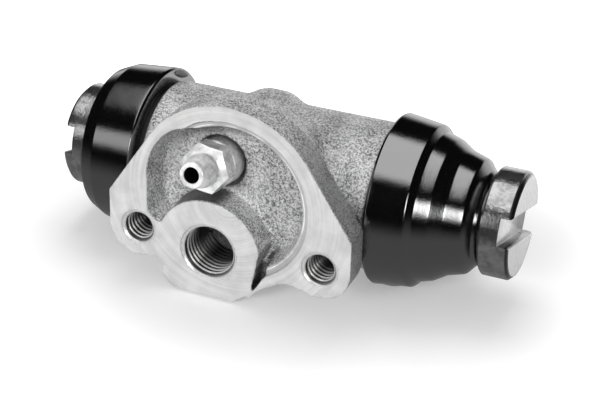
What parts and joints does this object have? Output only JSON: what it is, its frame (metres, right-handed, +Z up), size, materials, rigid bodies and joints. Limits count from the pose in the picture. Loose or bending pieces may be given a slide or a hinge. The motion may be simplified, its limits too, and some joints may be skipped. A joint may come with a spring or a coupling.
{
  "type": "wheel cylinder",
  "caption": "Hydraulic wheel cylinder with a cast flanged body, opposed slotted pistons under rubber boots, a bleed screw, and cup seals and a spring inside.",
  "frame": {"origin": "on the machined mounting face, in line with the middle of the cast barrel and of its bore", "axes": "+X along the bore, towards the piston that stands further out; -Y out of the mounting face, towards the backing plate; +Z up, from the pipe port towards the bleed screw"},
  "size_m": [0.0844, 0.0431, 0.0368],
  "materials": {
    "cast_metal": "rough as cast, machined on the flange, port and spigots",
    "plated_steel": "turned and bright plated",
    "screw_steel": "turned and bright plated",
    "spring_steel": "plain wire and pressed sheet",
    "boot_rubber": "glossy moulded rubber",
    "seal_rubber": "dull moulded rubber"
  },
  "bodies": {
    "housing": {"housing": "cast_metal", "left_boot": "boot_rubber", "right_boot": "boot_rubber"},
    "left_seal": {"left_cup": "seal_rubber", "left_spring_seat": "spring_steel", "spring": "spring_steel"},
    "right_seal": {"right_cup": "seal_rubber", "right_spring_seat": "spring_steel"},
    "left_piston": {"left_piston": "plated_steel"},
    "right_piston": {"right_piston": "plated_steel"},
    "bleed_screw": {"bleed_screw": "screw_steel"}
  },
  "joints": [
    {"name": "left_slide", "type": "slide", "parent": "housing", "child": "left_seal", "axis": [-1, 0, 0], "range_m": [-0.0018, 0.0092], "deforming": ["left_boot", "spring"]},
    {"name": "right_slide", "type": "slide", "parent": "housing", "child": "right_seal", "axis": [1, 0, 0], "range_m": [-0.008, 0.003], "deforming": ["right_boot", "spring"]},
    {"name": "left_turn", "type": "hinge", "parent": "left_seal", "child": "left_piston", "pos_m": [0, 0.0215, 0], "axis": [-1, 0, 0], "continuous": true},
    {"name": "right_turn", "type": "hinge", "parent": "right_seal", "child": "right_piston", "pos_m": [0, 0.0215, 0], "axis": [1, 0, 0], "continuous": true},
    {"name": "bleed_turn", "type": "hinge", "parent": "housing", "child": "bleed_screw", "pos_m": [-0.0036, 0.0054, 0.009], "axis": [0, -0.9803, 0.1977], "range_deg": [0, 360]}
  ]
}
